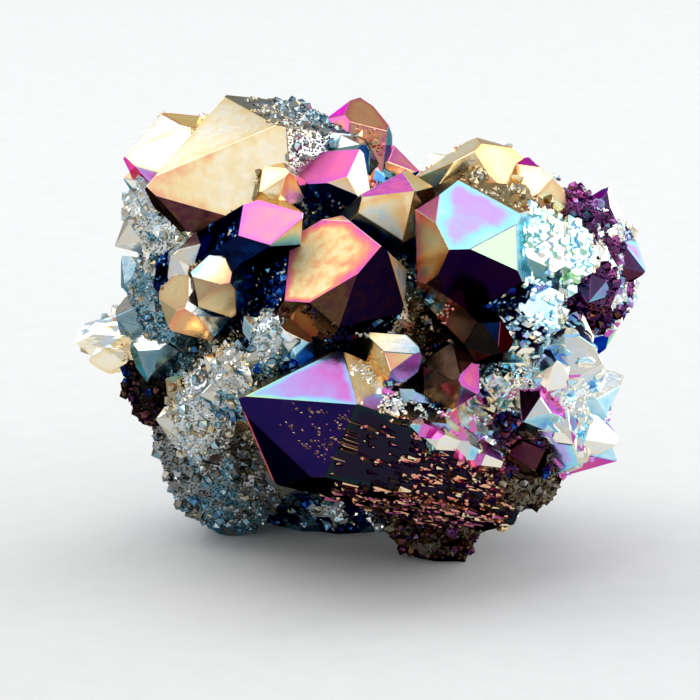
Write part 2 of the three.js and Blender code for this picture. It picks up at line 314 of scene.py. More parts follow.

# The core's lumps: middle, half sizes, number and girth of the stout points that crust each one, how much
# of the lump fine crystals cover, how far the painted shade in its gaps is held off, and the two films of
# what faces right, if it has its own, which paint a highlight on that side. Then its coats, each with the
# films of what faces up, sideways and down, the lower ones mostly darker as painted shade: its crust takes
# them in turn, and the lump itself has the first two in patches.
LUMPS = [
    ((0, 3, 17), (16, 11.5, 12), 0, 3, 0.95, 0, "", ["silver taupe taupe"]),
    ((-12.5, 6.5, 29), (8.2, 8.4, 7.8), 12, 2.4, 0.9, 0, "",
     ["cream silver silver", "gold white slate", "white silver taupe"]),
    ((-4, 6.5, 30), (9, 7.5, 6.4), 12, 2.4, 0.5, 0, "",
     ["slate teal navy", "salmon orange slate", "silver slate blue", "pink olive slate"]),
    ((10.5, 5, 26.5), (9, 8.5, 7.5), 16, 2.4, 0.4, 0, "",
     ["white white cream", "cream ivory cream", "gold cream olive", "white gold taupe"]),
    ((19, 3, 24.5), (5, 5.5, 7), 10, 1.7, 0.95, 0, "white lilac",
     ["mauve mauve maroon", "orchid mauve maroon"]),
    ((15.4, -2, 13.5), (6.2, 6.5, 7.4), 14, 2, 0.9, 0.8, "",
     ["white white lavender", "white cyan pink", "lavender white white", "pink white cyan"]),
    ((-11.3, 4, 9.5), (6.6, 7.2, 9.5), 12, 1.8, 1.0, 0, "",
     ["silver lead slate", "taupe pewter lead", "silver pewter slate"]),
    ((-19, 5, 17.3), (6, 3.6, 2.6), 6, 1.4, 0.3, 0, "", ["white cream cream", "white gold taupe"]),
    ((-16, 5, 20), (4.6, 6, 9), 8, 1.8, 0.9, 0, "", ["pewter slate slate", "silver slate slate"]),
    ((-17.3, 4, 13.5), (3.5, 4, 4.5), 0, 1, 0.7, 0, "", ["navy black black"]),
    ((6.6, -2.5, 7.5), (5.6, 5, 8.5), 6, 1.4, 0.9, 0.6, "", ["slate smoke umber", "rose smoke mauve"]),
    ((12.5, -7, 9.5), (4.6, 4.2, 4.6), 5, 1.5, 0.9, 0, "", ["maroon umber smoke", "rose smoke black"]),
    ((1, 9, 6), (13, 7.5, 9), 12, 3, 0.95, 0, "",
     ["slate steel navy", "cyan white slate", "gold taupe slate", "lavender sky navy"]),
    ((-13.4, -5, 13.6), (3.6, 3.6, 4.2), 7, 1.1, 1.0, 0, "", ["silver silver silver", "cream taupe silver"]),
    ((-10.2, -8, 17.2), (3.1, 3.4, 3.6), 6, 1, 1.0, 0, "", ["silver silver slate", "cream silver slate"]),
    ((-6.9, -10.2, 21), (2.8, 3, 3.4), 6, 0.9, 1.0, 0, "", ["silver silver slate", "cream slate blue"]),
]


def seeded_random(seed):
    """A function that gives numbers from 0 to 1, the same ones each run."""
    state = seed

    def draw():
        nonlocal state
        state = (state * 1664525 + 1013904223) % 4294967296
        return state / 4294967296

    return draw


def aim(turn, tilt):
    level, angle = math.cos(math.radians(tilt)), math.radians(turn)
    return Vector((math.cos(angle) * level, math.sin(angle) * level, math.sin(math.radians(tilt))))


def blend(near, far, share):
    return near + (far - near) * min(max(share, 0.0), 1.0)


def cut_at(shape, outward, through):
    """Cuts a closed shape at the plane through a place, closes the cut and returns the new face."""
    everything = shape.verts[:] + shape.edges[:] + shape.faces[:]
    cut = bmesh.ops.bisect_plane(shape, geom=everything, plane_co=through, plane_no=outward, clear_outer=True)
    rim = [part for part in cut["geom_cut"] if isinstance(part, bmesh.types.BMEdge)]
    if not rim:
        return None
    return bmesh.ops.contextual_create(shape, geom=rim)["faces"][0]


WEAR = 0.02  # how deep each edge is worn back
FAR = 99.0  # stands for the distance to an edge that a face doesn't have
SIDE_MARKS = 0.6  # how strong the growth lines across the side faces are
TIP_GRAIN = (0.7, 6.0)  # makes round pits of those lines on the tip faces: their scale along and around
DRUSE_FROM, DRUSE_OVER = 0.45, 0.3  # how far down a point its druse starts, and over how much it thickens
TIP_FACE, SIDE_FACE, ROOT_FACE, WORN_TIP, WORN_SIDE = range(5)


class Layers:
    """What each face and corner of a shape carries: the kind of face, which of the six, how much druse
    grows on it, how far the painted shade in gaps is held off it and how satin it is; and at its corners the
    film's place, its tone, which paints shade, growth lines and rim, how far the face's own edges are, and
    the place along and around the point."""

    def __init__(self, shape):
        for name in ("kind", "number", "druse", "airy", "satin"):
            setattr(self, name, shape.faces.layers.float.new(name))
        for name in ("coat", "edges_1", "edges_2"):
            setattr(self, name, shape.loops.layers.float_color.new(name))
        self.growth = shape.loops.layers.uv.new("growth")

    def plain(self, face, place, tone):
        """Lays an even film on a face, with no growth lines and no rim."""
        for corner in face.loops:
            corner[self.coat] = (place, tone, 0.0, 0.0)
            corner[self.edges_1] = corner[self.edges_2] = (FAR,) * 4


def quartz_point(tip, turn, tilt, roll, length, side, back, rim, tips, sides, taper=0, reach=0.9, fade=7,
                 etched=0.2, druse=0.0, worn=True, edge=None, airy=0.0, satin=0.0):
    """One quartz point as a closed shape: a block cut by a root face, six side faces and the six tip faces
    above them, with its edges worn a little and its film laid on."""
    end, axis = Vector(tip), aim(turn, tilt)
    shape = bmesh.new()
    layers = Layers(shape)
    bmesh.ops.create_cube(shape, size=3 * length)
    bmesh.ops.translate(shape, verts=shape.verts, vec=end - axis * length / 2)
    cut_at(shape, -axis, end - axis * length)[layers.kind] = ROOT_FACE
    outwards = facings(axis, roll)
    for k, outward in enumerate(outwards):
        shoulder = end + outward * side[k] - axis * side[k] * math.tan(TIP_SLANT)
        cut = cut_at(shape, (outward + axis * math.tan(math.radians(taper))).normalized(), shoulder)
        if cut:
            cut[layers.kind], cut[layers.number] = SIDE_FACE, k
        slope = tip_facing(axis, outward)
        cut = cut_at(shape, slope, end + slope * back[k])
        if cut:
            cut[layers.kind], cut[layers.number] = TIP_FACE, k
    bmesh.ops.recalc_face_normals(shape, faces=shape.faces)
    bounds = {(f[layers.kind], f[layers.number]): edges_of(f) for f in shape.faces}
    names = {TIP_FACE: tips.split(), SIDE_FACE: sides.split(), ROOT_FACE: sides.split(),
             WORN_TIP: tips.split(), WORN_SIDE: sides.split()}
    if worn:
        wear_edges(shape, layers, names, edge)
    lay_film(shape, layers, end, axis, outwards, bounds, names, side, fade, rim, reach, etched)
    for face in shape.faces:
        down = (end - face.calc_center_median()).dot(axis) / length
        face[layers.druse] = druse * min(max((down - DRUSE_FROM) / DRUSE_OVER, 0.0), 1.0)
        face[layers.airy] = airy
        face[layers.satin] = satin if face[layers.kind] in (TIP_FACE, WORN_TIP) else 0.0
    return shape


def facings(axis, roll):
    """The six ways that the side faces look, square to the long axis."""
    across = UP.cross(axis).normalized()
    over = axis.cross(across)
    angles = [math.radians(roll + 60 * k) for k in range(6)]
    return [across * math.cos(angle) + over * math.sin(angle) for angle in angles]


def tip_facing(axis, outward):
    """The way that the tip face above a side face looks."""
    return axis * math.cos(TIP_SLANT) + outward * math.sin(TIP_SLANT)


def edges_of(face):
    """A place on each edge of a face, and the way into the face from that edge."""
    found = []
    for corner in face.loops:
        here, there = corner.vert.co, corner.link_loop_next.vert.co
        found.append((here.copy(), face.normal.cross(there - here).normalized()))
    return found


def wear_edges(shape, layers, names, broad):
    """Cuts a narrow facet along each edge between the outer faces, coated as the darker of the two is. One
    of them may be broad, with a film of its own."""
    pair, broad_wear, film = broad or ((), WEAR, "")
    cuts = []
    for edge in shape.edges:
        one, other = edge.link_faces
        if ROOT_FACE not in (one[layers.kind], other[layers.kind]):
            outward = (one.normal + other.normal).normalized()
            found = [(int(face[layers.kind]), int(face[layers.number])) for face in (one, other)]
            kind, number = min(found, key=lambda at: math.prod(coat(names[at[0]][at[1]].split("-")[0])))
            worn = WORN_TIP if kind == TIP_FACE else WORN_SIDE
            depth = WEAR
            if set(found) == {(TIP_FACE, k) for k in pair}:
                worn, number, depth = WORN_TIP, pair[0], broad_wear
                names[worn][number] = film
            cuts.append((outward, edge.verts[0].co - outward * depth, worn, number))
    for outward, through, worn, number in cuts:
        cut = cut_at(shape, outward, through)
        if cut:
            cut[layers.kind], cut[layers.number] = worn, number
    bmesh.ops.recalc_face_normals(shape, faces=shape.faces)


def lay_film(shape, layers, end, axis, outwards, bounds, names, side, fade, rim, reach, etched):
    """Sets the film at each face's corners, from its top to its foot, and how far its edges are."""
    for face in shape.faces:
        kind, k = int(face[layers.kind]), int(face[layers.number])
        ends = names[kind][k].split("-")
        (near, near_tone), (far, far_tone) = coat(ends[0]), coat(ends[-1])
        around = outwards[k].cross(axis)
        edges = bounds.get((kind, k), [])
        for corner in face.loops:
            down = (end - corner.vert.co).dot(axis)
            if kind == TIP_FACE:
                share = down / (side[k] * math.tan(TIP_SLANT))
            else:
                share = (down - side[k]) / fade
            marks = etched if kind == TIP_FACE else SIDE_MARKS
            corner[layers.coat] = (blend(near, far, share), blend(near_tone, far_tone, share), marks, rim)
            away = [(corner.vert.co - start).dot(inward) / reach for start, inward in edges]
            away = (away + [FAR] * 8)[:8]
            corner[layers.edges_1], corner[layers.edges_2] = away[:4], away[4:]
            place = corner.vert.co - end
            grain = TIP_GRAIN if kind == TIP_FACE else (1.0, 1.0)
            corner[layers.growth].uv = (place.dot(axis) * grain[0], place.dot(around) * grain[1])


def film_facing(way, film, east_highlight):
    """Which of its films a face takes, by whether it faces right, up, sideways or down. The film of the right
    is a painted highlight, and the darker films that most coats give what faces down are painted shade.
    """
    upper, level, lower = film.split()
    if east_highlight and way.x > EAST_ABOVE:
        return east_highlight
    if way.z > UP_ABOVE:
        return upper
    return level if way.z > LEVEL_ABOVE else lower


def rough_lump(at, half, films, east_highlight, druse, airy, draw):
    """One rough lump of the core, as a closed shape: a ball pushed in and out at random and stretched. Its
    first films give way to its second in patches, and they all meet at ragged borders."""
    shape = bmesh.new()
    layers = Layers(shape)
    bmesh.ops.create_icosphere(shape, subdivisions=2, radius=1)
    for vert in shape.verts:
        vert.co *= 1 + ROUGHNESS * (2 * draw() - 1)
    bmesh.ops.subdivide_edges(shape, edges=shape.edges, cuts=3, use_grid_fill=True)
    for vert in shape.verts:
        way = vert.co.normalized()
        vert.co = Vector(at) + Vector([h * c for h, c in zip(half, vert.co)])
        vert.co += way * (DIMPLE_DEPTH * noise.noise(vert.co / DIMPLE_WIDTH) - DIMPLE_SUNK)
    shape.normal_update()
    for face in shape.faces:
        spot = face.calc_center_median() / PATCH
        second = noise.noise(spot) > SECOND_ABOVE
        film = films[second and len(films) > 1]
        facing = face.normal + RAGGED * noise.noise_vector(spot)
        place, tone = coat(film_facing(facing, film, east_highlight and east_highlight[second]))
        face[layers.druse] = druse
        face[layers.airy] = airy
        layers.plain(face, place, tone)
    return shape


CRUST_DOWN = 1.7  # how far down a lump its crust reaches, where 2 is all the way
CRUST_STRAYS, CRUST_SWAYS = 40, 30  # how far round its points stray from even spacing and sway, in degrees
CRUST_RIM = 0.04  # the rim of the film on its points
CRUST_DRUSE, POINT_DRUSE = 0.6, 0.7  # how much druse its points carry, and the large ones


def crust(at, half, points, girth, films, east_highlight, airy, draw):
    """Stout points all round a lump, from its top to low on its sides, aimed away from its middle."""
    made = []
    for i in range(points):
        tilt = math.degrees(math.asin(1 - CRUST_DOWN * (i + 0.5) / points))
        turn = GOLDEN_ANGLE * i + CRUST_STRAYS * draw()
        out = aim(turn, tilt)
        reach = 1 / math.hypot(*[c / h for c, h in zip(out, half)])
        size = girth * (0.7 + 0.6 * draw())
        stands = reach + size * (0.1 + 0.4 * draw())
        side = [size * (0.8 + 0.4 * draw()) for _ in range(6)]
        back = [0.3 * size * draw() for _ in range(6)]
        sway = CRUST_SWAYS * (draw() - 0.5)
        roll = 60 * draw()
        axis = aim(turn + sway, tilt + sway)
        film = films[i % len(films)]
        tips, sides = [], []
        for outward in facings(axis, roll):
            tips.append(film_facing(tip_facing(axis, outward), film, east_highlight and east_highlight[i % 2]))
            sides.append(film_facing(outward, film, east_highlight and east_highlight[i % 2]))
        made.append(quartz_point(
            Vector(at) + out * stands, turn + sway, tilt + sway, roll, 3 * size, side, back, CRUST_RIM,
            " ".join(tips), " ".join(sides), druse=CRUST_DRUSE, airy=airy))
    return made


def discard(spent):
    """Removes an object and its mesh."""
    mesh = spent.data
    bpy.data.objects.remove(spent)
    bpy.data.meshes.remove(mesh)


def join(whole, piece, how="UNION"):
    """Joins a closed piece to the whole, or cuts it away, and removes the piece."""
    modifier = whole.modifiers.new("join", "BOOLEAN")
    modifier.operation = how
    modifier.solver = "MANIFOLD"
    modifier.object = piece
    joined = bpy.data.meshes.new_from_object(whole.evaluated_get(bpy.context.evaluated_depsgraph_get()))
    whole.modifiers.clear()
    old, whole.data = whole.data, joined
    bpy.data.meshes.remove(old)
    discard(piece)


noise.seed_set(SEED)  # noise_vector, which frays the films' borders, goes by the clock if it isn't seeded
draw = seeded_random(SEED)
cluster = None
for row in POINTS:
    grown = object_from(quartz_point(**row, druse=POINT_DRUSE), "growing")
    if cluster:
        join(cluster, grown)
    else:
        cluster = grown
for at, half, points, girth, druse, airy, east_highlight, films in LUMPS:
    east_highlight = east_highlight.split()
    lump = rough_lump(at, half, films, east_highlight, druse, airy, draw)
    for shape in (lump, *crust(at, half, points, girth, films, east_highlight, airy, draw)):
        join(cluster, object_from(shape, "growing"))

# The flat underside, where the cluster broke off its bed.
BLOCK = 100  # side of the block below the bed
BED_COAT = (0.54, 0.6)  # the film's place and its tone, where the bed isn't bare
shape = bmesh.new()
layers = Layers(shape)
bmesh.ops.create_cube(shape, size=BLOCK)
bmesh.ops.translate(shape, verts=shape.verts, vec=(0, 0, -BLOCK / 2))
for face in shape.faces:
    face[layers.kind] = ROOT_FACE
    layers.plain(face, *BED_COAT)
join(cluster, object_from(shape, "growing"), "DIFFERENCE")

# Only the outermost shell is kept, the long faces are cut small enough to carry the film's changes, and
# the film is moved towards dark navy wherever little of the sky reaches: painted shade in the gaps.
FINEST = 0.9  # longest edge
SLIVER = 0.005  # shortest edge, and thinnest face, kept


def outer_shell(shape):
    """Removes every closed shell but the largest."""
    left, shells = set(shape.faces), []
    while left:
        front, shell = [left.pop()], []
        while front:
            face = front.pop()
            shell.append(face)
            for edge in face.edges:
                for other in edge.link_faces:
                    if other in left:
                        left.remove(other)
                        front.append(other)
        shells.append(shell)
    shells.sort(key=len)
    spare = [face for shell in shells[:-1] for face in shell]
    bmesh.ops.delete(shape, geom=spare, context="FACES")


def cut_small(shape, finest):
    """Halves the edges of a mesh of triangles until none is longer than the finest. Each time only those
    that are the longest of both their faces are halved, which leaves no slivers and no overlaps."""
    def length(edge):
        return edge.calc_length(), edge.index

    while True:
        longest = {face: max(face.edges, key=length) for face in shape.faces}
        halved = [edge for edge in shape.edges if edge.calc_length() > finest
                  and all(longest[face] == edge for face in edge.link_faces)]
        if not halved:
            return
        bmesh.ops.subdivide_edges(shape, edges=halved, cuts=1, use_single_edge=True)
        shape.edges.index_update()


def sky_rays(count):
    """Directions spread evenly over the half ball above +Z, most of them near its top."""
    rays = []
    for i in range(count):
        height = math.sqrt((i + 0.5) / count)
        flat, angle = math.sqrt(1 - height * height), math.radians(GOLDEN_ANGLE * i)
        rays.append(Vector((flat * math.cos(angle), flat * math.sin(angle), height)))
    return rays


def paint_gap_shade(shape, solid):
    """Paints shade in the gaps: moves the film at each corner towards dark navy, and takes away its rim,
    by how little of the sky it sees past the solid.
    """
    layer = shape.loops.layers.float_color["coat"]
    kind, kept = shape.faces.layers.float["kind"], shape.faces.layers.float["airy"]
    for face in shape.faces:
        turn = face.normal.to_track_quat("Z", "Y").to_matrix()
        ways = [turn @ ray for ray in RAYS]
        inside = face.calc_center_median()
        for corner in face.loops:
            start = corner.vert.co.lerp(inside, RAY_INSET) + face.normal * RAY_OFF
            free = sum(solid.ray_cast(start, way, SHADOW_REACH)[0] is None for way in ways) / len(ways)
            film, tone, marks, rim = corner[layer]
            whole = SKY_FOR_TIP if face[kind] == TIP_FACE else SKY_FOR_REST
            share = min(max((free - LEAST_SKY) / (whole - LEAST_SKY), 0.0), 1.0)
            share = max(share * share * (3 - 2 * share), face[kept])
            corner[layer] = (min(film, blend(GAP_SHADE_PLACE, film, share)), tone, marks, rim * share)


RAYS = sky_rays(24)
RAY_INSET, RAY_OFF = 0.15, 0.02  # each starts so far from its corner to the face's middle, and off the face
SHADOW_REACH = 7.0  # how far off a neighbour still shades the film
LEAST_SKY = 0.02  # share of the sky at which the painted shade is deepest, and those from which there is none
SKY_FOR_TIP = 0.12
SKY_FOR_REST = 0.2
GAP_SHADE_PLACE = 0.33  # the film's place in the deepest gaps, a dark navy that paints their shade
BROKEN_DEPTH, BROKEN_WIDTH = 0.5, 2.5  # how far in the hollows of the broken underside go, and how broad
CHIP_SHARE, CHIP_WIDTH = 0.4, 0.8  # the same of the chips in them, their depth as a share
BROKEN_BELOW = -0.6  # the quartz is bare where it looks down more than this
FLAT = 0.99  # how far down a face looks, of 1, that lies in the cut
BARE_MARGINS = {"coarse_druse": 0.9, "fine_druse": 0.5}  # none grows so near the cluster's outermost reach
DRUSE_ABOVE = 0.45  # druse grows where its share, raised and lowered by noise, is above this
DRUSE_PATCH = 1.6  # how broad the bare spots in it are

shape = bmesh.new()
shape.from_mesh(cluster.data)
outer_shell(shape)
bmesh.ops.translate(shape, verts=shape.verts, vec=-CENTRE)
for _ in range(2):
    bmesh.ops.dissolve_degenerate(shape, dist=SLIVER, edges=shape.edges)
    bmesh.ops.triangulate(shape, faces=shape.faces)
shape.edges.index_update()
cut_small(shape, FINEST)
shape.normal_update()
for vert in shape.verts:
    if all(face.normal.z < -FLAT and face.calc_center_median().z < 2 * SLIVER for face in vert.link_faces):
        chip = CHIP_SHARE * noise.noise(vert.co / CHIP_WIDTH)
        vert.co.z += BROKEN_DEPTH * max(noise.noise(vert.co / BROKEN_WIDTH) + chip, 0)
shape.normal_update()
for face in shape.faces:
    low = face.calc_center_median().z < BROKEN_DEPTH
    face.material_index = int(low and face.normal.z < BROKEN_BELOW)
# Painted shade: the film turns dark navy in the gaps between the points and lumps.
paint_gap_shade(shape, BVHTree.FromBMesh(shape))
druse_layer = shape.faces.layers.float["druse"]
for name, margin in BARE_MARGINS.items():
    grows = shape.faces.layers.float.new(name)
    reach = [c / MM - margin for c in cad_box[1]]
    for face in shape.faces:
        place = face.calc_center_median()
        x, y, z = place
        inside = abs(x) < reach[0] and abs(y) < reach[1] and margin < z < reach[2]
        face[grows] = inside and face[druse_layer] * (1 + noise.noise(place / DRUSE_PATCH)) > DRUSE_ABOVE
bmesh.ops.scale(shape, verts=shape.verts, vec=(MM, MM, MM))
shape.to_mesh(cluster.data)
shape.free()
cluster.name = cluster.data.name = "quartz_points"

# Quartz under a thin titanium film, vapour coated: it hides the quartz and mirrors like polished metal, and
# its colour comes from its thickness, so it bands along edges and drifts across each face.
film_metal, tree = new_material("titanium_film_on_quartz")
place = add_node(tree, "ShaderNodeTexCoord")
coating = add_node(tree, "ShaderNodeAttribute", {"attribute_name": "coat"})
parts = add_node(tree, "ShaderNodeSeparateColor", inputs={"Color": coating.outputs["Color"]})
laid, tone, marks = parts.outputs
drift, mottle, pits = (
    add_node(tree, "ShaderNodeTexNoise", inputs={
        "Vector": place.outputs["Object"], "Scale": 1 / (size * MM), "Detail": detail})
    for size, detail in ((3.5, 2.0), (0.9, 4.0), (0.5, 4.0)))

# The distance to the nearest of the face's own edges, and the thicker rim that it gives on bright films.
nearest = FAR
for name in ("edges_1", "edges_2"):
    away = add_node(tree, "ShaderNodeAttribute", {"attribute_name": name})
    split = add_node(tree, "ShaderNodeSeparateColor", inputs={"Color": away.outputs["Color"]})
    for each in (*split.outputs, away.outputs["Alpha"]):
        nearer = add_node(tree, "ShaderNodeMath", {"operation": "MINIMUM"}, {0: nearest, 1: each})
        nearest = nearer.outputs["Value"]
reach = add_node(tree, "ShaderNodeMapRange", inputs={
    "Value": drift.outputs["Fac"], "From Min": 0.3, "From Max": 0.7, "To Min": 0.4, "To Max": 1.3})
edge = add_node(tree, "ShaderNodeMath", {"operation": "DIVIDE"}, {0: nearest, 1: reach.outputs["Result"]})
rim = add_node(tree, "ShaderNodeMapRange", {"interpolation_type": "SMOOTHSTEP"}, {
    "Value": edge.outputs["Value"], "From Min": 0.0, "From Max": 1.0, "To Min": 1.0, "To Max": 0.0})
bright = add_node(tree, "ShaderNodeMapRange", inputs={"Value": laid, "From Min": 0.4, "From Max": 0.52})
dark = add_node(tree, "ShaderNodeMath", {"operation": "SUBTRACT"}, {0: 1.0, 1: bright.outputs["Result"]})
banded = add_node(tree, "ShaderNodeMath", {"operation": "MULTIPLY"}, {
    0: rim.outputs["Result"], 1: bright.outputs["Result"]})
film = add_node(tree, "ShaderNodeMath", {"operation": "MULTIPLY_ADD"}, {
    0: banded.outputs["Value"], 1: coating.outputs["Alpha"], 2: laid})

# The film drifts across the cluster, and mottles on the most pitted faces.
blotches = add_node(tree, "ShaderNodeMapRange", inputs={
    "Value": marks, "From Min": 0.6, "From Max": 0.9, "To Min": 0.03, "To Max": 0.2})
for source, depth in ((drift, 0.08), (mottle, blotches.outputs["Result"])):
    centred = add_node(tree, "ShaderNodeMath", {"operation": "SUBTRACT"}, {0: source.outputs["Fac"], 1: 0.5})
    film = add_node(tree, "ShaderNodeMath", {"operation": "MULTIPLY_ADD"}, {
        0: centred.outputs["Value"], 1: depth, 2: film.outputs["Value"]})

# Each fine crystal has its own film: each of its faces a little off the next, the whole a little off its
# neighbours', and on dark ones now and then far off.
facet = add_node(tree, "ShaderNodeAttribute", {"attribute_name": "facet"})
film = add_node(tree, "ShaderNodeMath", {"operation": "ADD"}, {
    0: film.outputs["Value"], 1: facet.outputs["Fac"]})
own = add_node(tree, "ShaderNodeAttribute", {"attribute_name": "own"})
power = add_node(tree, "ShaderNodeMath", {"operation": "POWER"}, {0: own.outputs["Fac"], 1: 4.0})
for share, depth in ((bright.outputs["Result"], 0.06), (dark.outputs["Value"], 0.3)):
    weighed = add_node(tree, "ShaderNodeMath", {"operation": "MULTIPLY"}, {
        0: power.outputs["Value"], 1: share})
    film = add_node(tree, "ShaderNodeMath", {"operation": "MULTIPLY_ADD"}, {
        0: weighed.outputs["Value"], 1: depth, 2: film.outputs["Value"]})
ramp = add_node(tree, "ShaderNodeValToRGB", inputs={"Fac": film.outputs["Value"]})
stops = ramp.color_ramp.elements
for i, (stop, hue) in enumerate(FILM.values()):
    element = stops[i] if i < 2 else stops.new(stop)
    element.position = stop
    element.color = linear(hue)
# The tone scales the film's colour down: painted shade.
shaded_colour = add_node(tree, "ShaderNodeVectorMath", {"operation": "SCALE"}, {
    0: ramp.outputs["Color"], "Scale": tone})

# Growth lines 0.35 mm apart run across the side faces, and fine pits cover all.
growth = add_node(tree, "ShaderNodeUVMap", {"uv_map": "growth"})
line_place = add_node(tree, "ShaderNodeMapping", inputs={
    "Vector": growth.outputs["UV"], "Scale": (1 / 0.35, 1 / 3.0, 1.0)})
lines = add_node(tree, "ShaderNodeTexNoise", inputs={
    "Vector": line_place.outputs["Vector"], "Scale": 1.0, "Detail": 3.0})
line_bump = add_node(tree, "ShaderNodeBump", inputs={
    "Height": lines.outputs["Fac"], "Distance": 0.05 * MM, "Strength": marks})
bump = add_node(tree, "ShaderNodeBump", inputs={
    "Height": pits.outputs["Fac"], "Distance": 0.012 * MM, "Strength": 0.6,
    "Normal": line_bump.outputs["Normal"]})
gloss = add_node(tree, "ShaderNodeMapRange", inputs={
    "Value": pits.outputs["Fac"], "To Min": 0.1, "To Max": 0.25})
satin = add_node(tree, "ShaderNodeAttribute", {"attribute_name": "satin"})
dulled = add_node(tree, "ShaderNodeMath", {"operation": "ADD"}, {
    0: gloss.outputs["Result"], 1: satin.outputs["Fac"]})
metal = add_node(tree, "ShaderNodeBsdfPrincipled", inputs={
    "Base Color": shaded_colour.outputs["Vector"], "Specular Tint": shaded_colour.outputs["Vector"], "Metallic": 1.0,
    "Roughness": dulled.outputs["Value"], "Normal": bump.outputs["Normal"]})
add_node(tree, "ShaderNodeOutputMaterial", inputs={"Surface": metal.outputs["BSDF"]})

# Bare quartz where the cluster broke off its bed: milky, with a dull broken surface and rusty stains.
broken, tree = new_material("broken_milky_quartz")
place = add_node(tree, "ShaderNodeTexCoord")
clouds, stains = (
    add_node(tree, "ShaderNodeTexNoise", inputs={
        "Vector": place.outputs["Object"], "Scale": 1 / (size * MM), "Detail": detail})
    for size, detail in ((4, 5.0), (1.5, 6.0)))
milk = add_node(tree, "ShaderNodeMix", {"data_type": "RGBA"}, {
    "Factor": clouds.outputs["Fac"], "A": linear("#cfc9bf"), "B": linear("#f1eeea")})
stained = add_node(tree, "ShaderNodeMapRange", inputs={
    "Value": stains.outputs["Fac"], "From Min": 0.5, "From Max": 0.66, "To Max": 0.7})
colour = add_node(tree, "ShaderNodeMix", {"data_type": "RGBA"}, {
    "Factor": stained.outputs["Result"], "A": milk.outputs["Result"], "B": linear("#a5764a")})
chips = add_node(tree, "ShaderNodeTexVoronoi", inputs={
    "Vector": place.outputs["Object"], "Scale": 1 / (0.7 * MM)})
bump = add_node(tree, "ShaderNodeBump", inputs={
    "Height": chips.outputs["Distance"], "Distance": 0.08 * MM})
quartz = add_node(tree, "ShaderNodeBsdfPrincipled", inputs={
    "Base Color": colour.outputs["Result"], "Roughness": 0.5, "Normal": bump.outputs["Normal"]})
add_node(tree, "ShaderNodeOutputMaterial", inputs={"Surface": quartz.outputs["BSDF"]})

cluster.data.materials.clear()
cluster.data.materials.append(film_metal)
cluster.data.materials.append(broken)
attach(cluster, "root")
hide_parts("quartz_cluster")

# ------------------------------------------------------------------------------
# Parallel growths: small crystals that grew on the sides of the large points, each turned as its host is, so
# that they all flash together. They are quartz under the same film, half sunk in the side they grew on.
# ------------------------------------------------------------------------------
# Each patch: its host's place in POINTS and the face, and where on it the crystals stand. On a side face,
# down is how far from the host's tip that is, and wide is half the width they fill. On the tip faces, span
# is how far from the axis and spread how far round from the face, in degrees. Then how many grew, the girth,
# rise and length of each, and the films of the faces that look up and down: the brighter films above are
# partly painted highlight, and the darker ones below partly painted shade.
PATCHES = [
    (4, 0, {"down": (5.5, 15)}, 170, (0.3, 0.6), (0.05, 0.3), (0.6, 1.4),
     "white cyan white lavender cream", "cyan white aqua white"),
    (2, 4, {"down": (2, 9), "wide": 2.4}, 90, (0.12, 0.3), (0.05, 0.25), (0.3, 0.8),
     "white cyan silver sky", "cyan sky blue white"),
    (11, 0, {"span": (0, 3.5), "spread": 180}, 110, (0.3, 0.55), (0.0, 0.6), (2, 3),
     "cyan white cyan lavender cyan", "cyan white aqua cyan"),
    (12, 0, {"span": (0, 3), "spread": 180}, 90, (0.3, 0.55), (0.0, 0.6), (2, 3),
     "cyan white cyan lavender", "cyan aqua lavender cyan"),
    (13, 0, {"span": (0, 2.8), "spread": 180}, 70, (0.25, 0.5), (0.0, 0.5), (2, 3),
     "white lavender white cyan", "cyan white lavender slate"),
    (22, 0, {"span": (0.5, 4.5), "spread": 180}, 70, (0.4, 0.9), (0.0, 0.35), (2, 3),
     "white white cyan lavender white", "white lavender white cyan"),
    (23, 0, {"span": (0.5, 4.5), "spread": 180}, 70, (0.4, 0.9), (0.0, 0.35), (2, 3),
     "white white lavender pink white", "white cyan white lavender white"),
    (5, 0, {"down": (7.5, 22)}, 34, (0.7, 1.2), (0.3, 0.7), (1.4, 2.4),
     "white white cream white pink", "white pink white lavender cyan"),
    (5, 5, {"down": (6.5, 26)}, 400, (0.13, 0.27), (0.1, 0.35), (1.0, 2.4),
     "gold cream orange gold white salmon", "ink gold ink black cream ink umber orange ink black"),
    (5, 4, {"down": (7.5, 24)}, 220, (0.13, 0.27), (0.1, 0.3), (1.0, 2.4),
     "gold cream orange gold", "ink gold umber rose black orange bronze ink"),
    (5, 5, {"span": (1.8, 5.6), "spread": 26}, 90, (0.06, 0.16), (0.0, 0.06), (1, 1.5),
     "olive bronze rose taupe", "bronze umber olive bronze"),
]
LOOKS_UP = 0.2  # how far up a face looks, from -1 to 1, to take an upper film
SCATTER = 2.1  # how wide the patches on the side faces are, in half widths
GROWTH_SWAYS, GROWTH_ROLLS = 3, 4  # how far the crystals differ from their host, in degrees
GROWTH_LEAN, TIP_LEAN = 3, 2  # how far their sides lean in, on the host's side faces and on its tip
GROWTH_SLOPE = (0.6, 0.8)  # how far along and out from the axis a tip face looks, when its film is picked
GROWTH_RIM = 0.04  # the rim of the film on them


